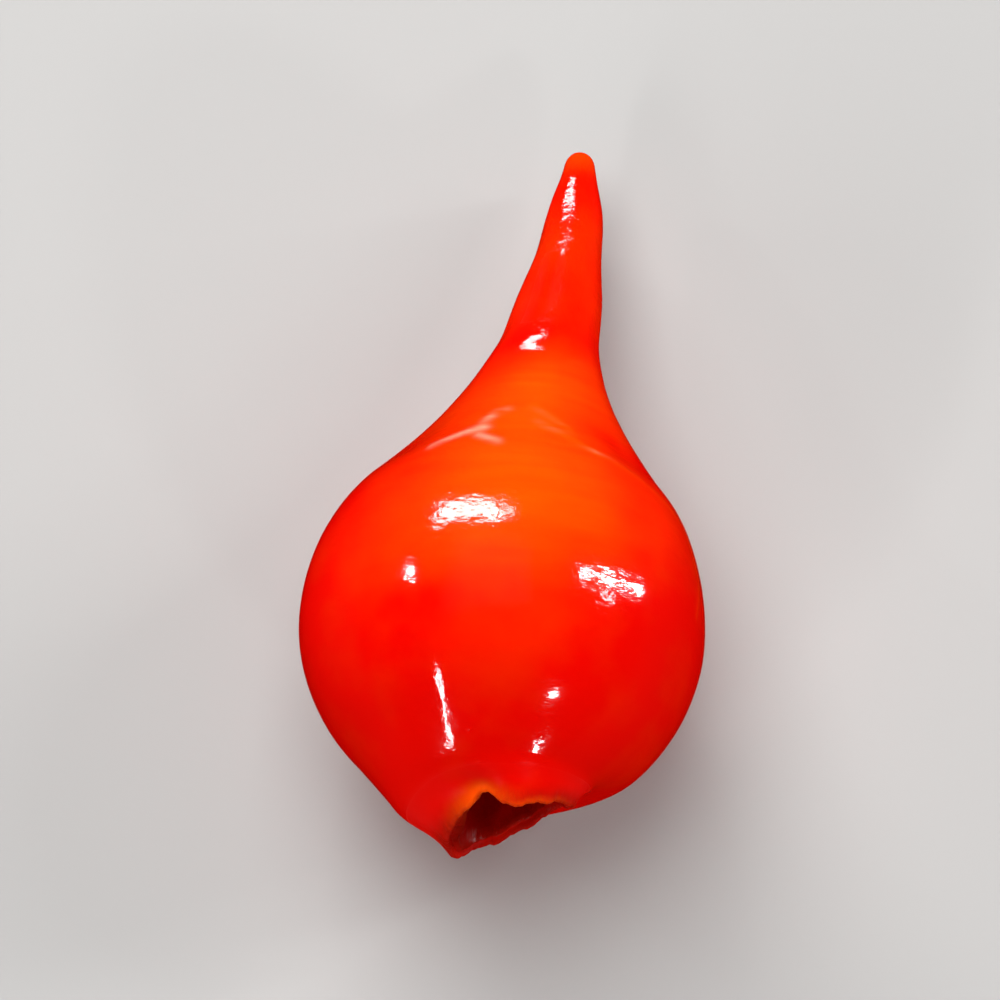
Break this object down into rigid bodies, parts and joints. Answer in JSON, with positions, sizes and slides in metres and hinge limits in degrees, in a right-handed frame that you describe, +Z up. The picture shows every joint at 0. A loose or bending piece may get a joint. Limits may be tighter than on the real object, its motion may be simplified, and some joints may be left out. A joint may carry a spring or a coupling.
{
  "type": "biquinho pepper",
  "caption": "Small round ripe red chilli with a long pointed beak, picked without its stalk so the stem end is a torn mouth, lying on its side.",
  "frame": {"origin": "on the resting surface, below the middle of the pepper's bounding box", "axes": "+Z up from the resting surface; +Y along the pepper, towards its beak; +X to its right, seen from above with the beak pointing away"},
  "size_m": [0.0156, 0.0292, 0.0154],
  "materials": {
    "skin": "smooth waxy skin of a ripe chilli, saturated red, orange on the shoulder and the beak's tip, with a wet gloss; dark red torn flesh inside the mouth"
  },
  "bodies": {
    "root": {"pepper": "skin"}
  },
  "joints": []
}
